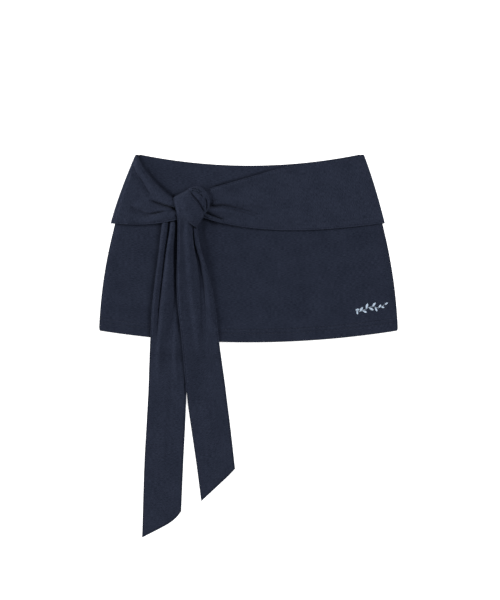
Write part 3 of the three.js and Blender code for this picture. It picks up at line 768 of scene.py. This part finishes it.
def section(rows, name, place):
    """A column of a table, on a smooth curve through its rows. It is 0 where a row leaves it out."""
    at = np.array([row["at"] for row in rows], float)
    values = np.array([row.get(name, 0) for row in rows], float)
    place = np.clip(place, at[0], at[-1])
    i = np.clip(np.searchsorted(at, place, side="right") - 1, 0, len(at) - 2)
    before, after = np.maximum(i - 1, 0), np.minimum(i + 2, len(at) - 1)
    slope_start = (values[i + 1] - values[before]) / (at[i + 1] - at[before])
    slope_end = (values[after] - values[i]) / (at[after] - at[i])
    span, rise = at[i + 1] - at[i], values[i + 1] - values[i]
    share = (place - at[i]) / span
    lean = (slope_start * span - rise) * (1 - share) - (slope_end * span - rise) * share
    return mix(values[i], values[i + 1], share) + share * (1 - share) * lean


def under_the_tails(x, y):
    """Height of the front under a place, or past the hem of the table."""
    _, down = down_the_body(x, y)
    past = (down - 1) * SIDE_LENGTH
    on_skirt = front_level(np.minimum(down, 1)) + FRONT_FACE
    return mix(on_skirt, TABLE_LEVEL, smooth(past, TAIL_STEP_START, TAIL_STEP_END))


def cut_slope(tail, across):
    """The cut end slopes up to the right and bends further up at its upper corner."""
    return tail["end_slant"] * (across + tail["end_corner"] * across**7)


def tail_height(tail, x, y):
    """Height of a tail's middle. It is worked out from its place in the picture."""
    at = -y
    left, right = section(tail["sections"], "left", at), section(tail["sections"], "right", at)
    across = np.clip((x - left) / (right - left), 0, 1)
    middle = section(tail["sections"], "lift_middle", at)
    lift = mix(section(tail["sections"], "lift_left", at), middle, smooth(across, 0, 0.5))
    lift = mix(lift, section(tail["sections"], "lift_right", at), smooth(across, 0.5, 1))
    rest = np.max([under_the_tails(x, y + reach) for reach in (-TAIL_BRIDGE, 0, TAIL_BRIDGE)], axis=0)
    height = rest + np.minimum(rest, TAIL_GAP) + SASH / 2
    return height + np.maximum(0, lift + fold_relief(x, y, tail["folds"]))


def between_edges(rows, at, across, axis=""):
    """A place between the left and the right edges that a table gives."""
    return mix(section(rows, f"left{axis}", at), section(rows, f"right{axis}", at), across)


def tail_place(tail):
    def place(across, at):
        down = (at - tail["start"]) / (tail["end"] - tail["start"])
        y = -at + cut_slope(tail, across) * down**4
        x = between_edges(tail["sections"], -y, across)
        return x, y, tail_height(tail, x, y)
    return place


TAIL_ACROSS = cloth_lines(0, (4, 0.4), (54, 0.9), (TAIL_WIDTH, 0.4)) / TAIL_WIDTH
left_tail = cloth_sheet(
    "tail_left_cloth", TAIL_ACROSS,
    cloth_lines(LEFT_TAIL["start"], (340, 2.2), (604, 4), (LEFT_TAIL["end"], 0.4)),
    tail_place(LEFT_TAIL), SASH, sewn="left right bottom",
)
dress(left_tail, sash_jersey, "sash_jersey", "tail_left")

# Right tail and the wrap of the knot: one run of cloth comes over the front of the knot, turns down
# and hangs as the right tail. Only on its right a step shows where the wrap laps over the tail.
RIGHT_TAIL = {
    "sections": [
        {"at": 96, "left": -112.6, "right": -84, "lift_left": 8.6, "lift_middle": 7.2, "lift_right": 4.6},
        {"at": 114, "left": -112.8, "right": -82.2, "lift_left": 9, "lift_middle": 8, "lift_right": 4.5},
        {"at": 154, "left": -113.6, "right": -74.9, "lift_left": 8.6, "lift_middle": 6.6, "lift_right": 3.8},
        {"at": 197, "left": -114.6, "right": -61.3, "lift_left": 6.8, "lift_middle": 3.6, "lift_right": 2.2},
        {"at": 240, "left": -113.1, "right": -53.3, "lift_left": 5.2, "lift_middle": 2, "lift_right": 1},
        {"at": 283, "left": -108, "right": -48.3, "lift_left": 4.2, "lift_middle": 0.8, "lift_right": 0.4},
        {"at": 309, "left": -105.5, "right": -45.4, "lift_left": 4},
        {"at": 370, "left": -100.2, "right": -37, "lift_left": 3.2},
        {"at": 385, "left": -98.4, "right": -35.2, "lift_left": 2.4},
        {"at": 404, "left": -96.4, "right": -32.8},
        {"at": 431, "left": -92.6, "right": -29.4},
        {"at": 494, "left": -83.4, "right": -22.3},
        {"at": 554, "left": -75.6, "right": -16},
    ],
    "start": 96, "end": 554, "end_slant": 50, "end_corner": 0.04,
    "folds": [
        {"name": "left roll", "high": 0.8, "left": 3, "right": 3, "fade": 60,
         "line": [(-109.6, -100), (-110.4, -140), (-110.4, -190), (-108.8, -236), (-106.4, -268),
                  (-103.5, -300)]},
        {"name": "soft valley", "high": -0.9, "left": 3.5, "right": 3.5, "grow": 10, "fade": 60,
         "line": [(-104, -106), (-105, -124), (-103, -156), (-102, -188), (-99.5, -220), (-96, -244),
                  (-91.2, -276), (-86.4, -300), (-82, -330)]},
        {"name": "main roll", "high": 3, "left": (6, 7, 8), "right": (5, 6, 7), "fade": 80,
         "line": [(-95.5, -104), (-97, -124), (-94.5, -156), (-92.4, -188), (-89.4, -220), (-84.8, -252),
                  (-81.6, -284), (-76.8, -316), (-70, -345)]},
        {"name": "dark wedge", "roll": True, "high": (-7, -7, -6.5, -6, -5, -4, -3, -2),
         "left": (1.2, 2, 4.8, 4.5, 3.5, 3.5, 3.5, 3.5), "right": (1.2, 2, 4.5, 6, 8, 9, 9, 9), "grow": 3,
         "fade": 60,
         "line": [(-89, -113), (-88.6, -124), (-87, -140), (-84, -156), (-80, -172), (-77.4, -188),
                  (-74.6, -204), (-72.6, -220), (-71.4, -244), (-71.4, -268), (-70.4, -290), (-68, -320)]},
        {"name": "right strip", "high": 2.2, "left": (3, 4, 5), "right": (3, 4, 5), "grow": 3, "fade": 60,
         "line": [(-84.4, -116), (-80, -140), (-75.2, -156), (-72, -172), (-68.4, -188), (-66.4, -204),
                  (-64.4, -220), (-61.6, -244), (-58, -268), (-56, -300)]},
        {"name": "lower fold", "high": 0.8, "left": 7, "right": 7, "grow": 80, "fade": 100,
         "line": [(-80, -320), (-72, -380), (-62, -440), (-54, -500)]},
    ],
}
WRAP_SECTIONS = [
    {"at": 0, "left_x": -120.8, "left_y": -69.1, "right_x": -94.2, "right_y": -54.6},
    {"at": 11, "left_x": -118.3, "left_y": -78.5, "right_x": -88.5, "right_y": -67},
    {"at": 22, "left_x": -115.8, "left_y": -88.5, "right_x": -79.6, "right_y": -78.8},
    {"at": 33, "left_x": -114.2, "left_y": -97, "right_x": -72.8, "right_y": -90},
    {"at": 41, "left_x": -113.2, "left_y": -105, "right_x": -71.7, "right_y": -99},
    {"at": 48, "left_x": -112.9, "left_y": -112, "right_x": -77.2, "right_y": -107.4},
    {"at": 56, "left_x": -112.9, "left_y": -120, "right_x": -82.4, "right_y": -117},
]
WRAP_LENGTH, WRAP_SETTLES, WRAP_SLANT = 56, 10, 3
TAIL_TAKES_OVER = 120
WRAP = {"x": -94, "y": -83, "base": 8, "rise": 17, "across": 37, "along": 42}
LAP_LINE = [(-116, -103), (-104, -104.6), (-95.2, -107.7), (-88.6, -112), (-82.4, -117), (-78, -120.6)]
LAP_LEFT, LAP_RIGHT = {"x": -112, "spread": 24}, {"x": -87, "spread": 1.7}
WRAP_FOLDS = [
    {"name": "left edge turns down", "high": -3.6, "left": 2.6, "right": 2.6, "fade": 14,
     "line": [(-120.6, -68), (-117.8, -80), (-115.2, -91), (-113.6, -101)]},
    {"name": "right edge turns down", "high": -2.6, "left": 2.8, "right": 2.8, "grow": 4, "fade": 2,
     "line": [(-94, -54), (-88.2, -67), (-79.3, -79), (-72.4, -90), (-71.2, -99), (-77, -108),
              (-82, -116.6)]},
    {"name": "top turns back", "high": -5, "left": 3.6, "right": 3.6, "grow": 0.5, "fade": 0.5,
     "line": [(-121, -69), (-107.5, -61.7), (-94, -54.4)]},
    {"name": "soft ridge", "high": 0.7, "left": 5, "right": 5, "grow": 10, "fade": 12,
     "line": [(-108, -66), (-101, -78), (-93, -92), (-84, -108)]},
    {"name": "soft dip", "high": -0.6, "left": 3, "right": 4, "grow": 8, "fade": 10,
     "line": [(-114, -72), (-109, -82), (-104, -94), (-97, -104)]},
]


def wrap_height(x, y):
    """The wrap lies over the knot as part of a dome."""
    reach = ((x - WRAP["x"]) / WRAP["across"]) ** 2 + ((y - WRAP["y"]) / WRAP["along"]) ** 2
    dome = WRAP["base"] + WRAP["rise"] * np.sqrt(np.clip(1 - reach, 0, 1))
    return dome + fold_relief(x, y, WRAP_FOLDS)


def wrap_and_tail_place(across, length):
    """The cloth is wrap up to its length, then tail, and the two heights blend along the lap."""
    at = TAIL_TAKES_OVER + length - WRAP_LENGTH
    down = (at - RIGHT_TAIL["start"]) / (RIGHT_TAIL["end"] - RIGHT_TAIL["start"])
    tail_y = -at + cut_slope(RIGHT_TAIL, across) * np.maximum(down, 0) ** 4
    tail_x = between_edges(RIGHT_TAIL["sections"], -tail_y, across)
    slant = WRAP_SLANT * across * (1 - smooth(length, WRAP_LENGTH, WRAP_LENGTH + WRAP_SETTLES))
    in_wrap = length <= WRAP_LENGTH
    x = np.where(in_wrap, between_edges(WRAP_SECTIONS, length, across, "_x"), tail_x)
    y = np.where(in_wrap, between_edges(WRAP_SECTIONS, length, across, "_y"), tail_y + slant)
    below, _, _ = beside_line(x, y, LAP_LINE)
    spread = mix(LAP_LEFT["spread"], LAP_RIGHT["spread"], smooth(x, LAP_LEFT["x"], LAP_RIGHT["x"]))
    on_tail = smooth(below, -spread / 2, spread / 2)
    return x, y, mix(wrap_height(x, y), tail_height(RIGHT_TAIL, x, y), on_tail)


drape = cloth_sheet(
    "knot_wrap_and_right_tail", TAIL_ACROSS,
    cloth_lines(0, (1, 0.3), (44, 1), (66, 0.5), (270, 2.4), (482, 4), (490, 0.4)),
    wrap_and_tail_place, SASH, sewn="left right bottom",
)
dress(drape, sash_jersey, "sash_jersey", "tail_right", "knot_wrap")

# Turn of the knot: the sash's other run comes round the right of the wrap, bunched into pleats. Its
# hidden layers fill the knot, so it is one rounded form.
TURN = {"x": -84, "y": -76, "z": 15, "across": 22.3, "along": 25, "up": 7.2, "down": 6.3}
TURN_FOLDS_START, TURN_FOLDS_FULL = 0.1, 0.55
TURN_FOLDS = [
    {"name": "top pleat", "high": -2.6, "left": 1, "right": 1.4, "grow": 3, "fade": 7,
     "line": [(-92, -55), (-86, -54), (-79, -57), (-72, -63)]},
    {"name": "second pleat", "high": -2.8, "left": 1.1, "right": 1.5, "grow": 3, "fade": 7,
     "line": [(-92, -58), (-84, -59.4), (-76.5, -63.4), (-71, -71)]},
    {"name": "groove at the wrap", "high": -2, "left": 1.2, "right": 2.4, "grow": 3, "fade": 3,
     "line": [(-96, -58), (-90, -65), (-83, -72), (-76, -82), (-71, -92)]},
    {"name": "inner pleat", "high": 1.2, "left": 2, "right": 2, "grow": 5, "fade": 5,
     "line": [(-84, -67), (-77, -72), (-72.5, -81), (-70, -90)]},
    {"name": "slit", "high": -2.8, "left": 0.9, "right": 1.1, "grow": 5, "fade": 5,
     "line": [(-69.5, -68), (-67.2, -75), (-66.6, -83), (-68, -90)]},
    {"name": "outer roll", "high": 1.7, "left": 2.2, "right": 2.4, "grow": 8, "fade": 6,
     "line": [(-78, -53.6), (-70, -57), (-65, -65), (-63, -76), (-64, -86), (-68, -93)]},
    {"name": "upper roll", "high": 1, "left": 1.8, "right": 1.8, "grow": 5, "fade": 6,
     "line": [(-90, -52.6), (-83, -51.8), (-76, -54.4), (-70, -59.6)]},
]

bpy.ops.object.select_all(action="DESELECT")
bpy.ops.mesh.primitive_uv_sphere_add(segments=176, ring_count=96, radius=1)
turn = bpy.context.object
turn.name = turn.data.name = "knot_turn_cloth"
ball = np.array([v.co for v in turn.data.vertices])
turn_x, turn_y = TURN["x"] + TURN["across"] * ball[:, 0], TURN["y"] + TURN["along"] * ball[:, 1]
above = smooth(ball[:, 2], TURN_FOLDS_START, TURN_FOLDS_FULL)
turn_z = TURN["z"] + np.where(ball[:, 2] > 0, TURN["up"], TURN["down"]) * ball[:, 2]
turn_z += fold_relief(turn_x, turn_y, TURN_FOLDS) * above
shaped = all_in_row_frame(np.stack([turn_x, turn_y, turn_z], axis=1))
turn.data.vertices.foreach_set("co", shaped.ravel())
lay_pattern(turn, shaped[:, :2] - shaped[:, :2].mean(axis=0))
bpy.ops.object.shade_smooth()
dress(turn, sash_jersey, "sash_jersey", "knot_turn")

# Embroidery near the right end of the hem: a small leafy sprig in pale blue satin stitch, about
# 52 by 19 mm. It is a plain motif of this scene's own.
STEM = [(170.5, -247.5), (178, -250.5), (188, -246), (198, -242.5), (208, -244.5), (218.5, -239)]
SATIN_THREAD, SATIN_SPACING, SATIN_LIFT = 0.5, 0.42, 0.25
STEM_STITCHES, STEM_LEAN, STEM_RISE = 45, 0.32, 0.12
LEAF_START, MIDRIB, MARGIN, LEAF_SLANT = 0.6, 0.12, 0.15, 0.7
PALE_BLUE = (0.46, 0.56, 0.68)
LEAVES = [
    {"along": 0.03, "turn": 35, "long": 6.5, "wide": 2.8},
    {"along": 0.1, "turn": -48, "long": 6, "wide": 2.6},
    {"along": 0.2, "turn": 52, "long": 8.5, "wide": 3.2},
    {"along": 0.3, "turn": -50, "long": 7.5, "wide": 3},
    {"along": 0.4, "turn": 50, "long": 9, "wide": 3.4},
    {"along": 0.5, "turn": -52, "long": 8.5, "wide": 3.2},
    {"along": 0.6, "turn": 48, "long": 8, "wide": 3},
    {"along": 0.7, "turn": -46, "long": 7.5, "wide": 2.8},
    {"along": 0.8, "turn": 44, "long": 6.5, "wide": 2.6},
    {"along": 0.88, "turn": -40, "long": 5.5, "wide": 2.4},
    {"along": 0.99, "turn": 2, "long": 6, "wide": 2.4},
]


def satin(points, rise=0.0):
    return [(x, y, front_surface(x, y) + SATIN_LIFT + rise) for x, y in points]


def satin_leaf(root, angle, long, wide):
    """Slanted threads from the leaf's midrib to its two margins."""
    forward = np.array([math.cos(angle), math.sin(angle)])
    left = np.array([-forward[1], forward[0]])
    runs = []
    for length in np.arange(LEAF_START, long, SATIN_SPACING):
        start = root + forward * length
        half = wide / 2 * math.sin(math.pi * (length / long) ** 0.8) + MARGIN
        for side in (-1, 1):
            margin = start + forward * half * LEAF_SLANT + left * side * half
            runs.append(satin([start - left * side * MIDRIB, margin]))
    return runs


stem = smooth_line(STEM)
stem_steps = np.linspace(0, len(stem) - 1, STEM_STITCHES + 1)
stem_points = np.stack([np.interp(stem_steps, range(len(stem)), stem[:, axis]) for axis in (0, 1)], axis=1)
sprig = []
for start, end in zip(stem_points, stem_points[1:]):
    lean = np.array([-(end - start)[1], (end - start)[0]]) * STEM_LEAN
    sprig.append(satin([start - lean, end + lean], STEM_RISE))
for leaf in LEAVES:
    spot = int(leaf["along"] * STEM_STITCHES)
    ahead = stem_points[min(spot + 1, len(stem_points) - 1)] - stem_points[max(spot - 1, 0)]
    angle = math.atan2(ahead[1], ahead[0]) + math.radians(leaf["turn"])
    sprig.extend(satin_leaf(stem_points[spot], angle, leaf["long"], leaf["wide"]))
embroidery = sewn_threads("embroidered_sprig", sprig, SATIN_THREAD)
dress(embroidery, thread_finish("pale blue satin thread", PALE_BLUE, 0.5, 0.1), "embroidery")

# Studio: a plain white surface under the garment, soft light all round, a large soft light at the
# picture's right and a lower one at its left.
FLOOR_SIZE, FLOOR_DEPTH = 16, 0.0002
SURROUND, SURFACE_GLOW = 0.23, 0.75
SIDE_LIGHTS = [
    {"name": "right light", "place": (2.5, 0.95, 2.4), "power": 118, "size": 2},
    {"name": "left light", "place": (-3.35, 0.4, 1.2), "power": 180, "size": 2},
]

bpy.ops.object.select_all(action="DESELECT")
bpy.ops.mesh.primitive_grid_add(
    x_subdivisions=8, y_subdivisions=8, size=FLOOR_SIZE, location=(0, 0, -FLOOR_DEPTH),
)
floor = bpy.context.object
floor.name = "floor"
paper, _, _, _ = new_finish("matt white paper", {
    "Base Color": (0.93, 0.93, 0.93, 1), "Roughness": 0.9, "Specular IOR Level": 0.1,
    "Emission Color": (1, 1, 1, 1), "Emission Strength": SURFACE_GLOW,
})
floor.data.materials.append(paper)

for light in SIDE_LIGHTS:
    bpy.ops.object.light_add(type="AREA", location=light["place"])
    lamp = bpy.context.object
    lamp.name = light["name"]
    lamp.data.energy, lamp.data.size = light["power"], light["size"]
    lamp.rotation_euler = (-Vector(light["place"])).to_track_quat("-Z", "Y").to_euler()
    lamp.visible_camera = False
studio = bpy.data.worlds.new("studio")
studio.use_nodes = True
studio.node_tree.nodes["Background"].inputs["Color"].default_value = (1, 1, 1, 1)
studio.node_tree.nodes["Background"].inputs["Strength"].default_value = SURROUND
bpy.context.scene.world = studio
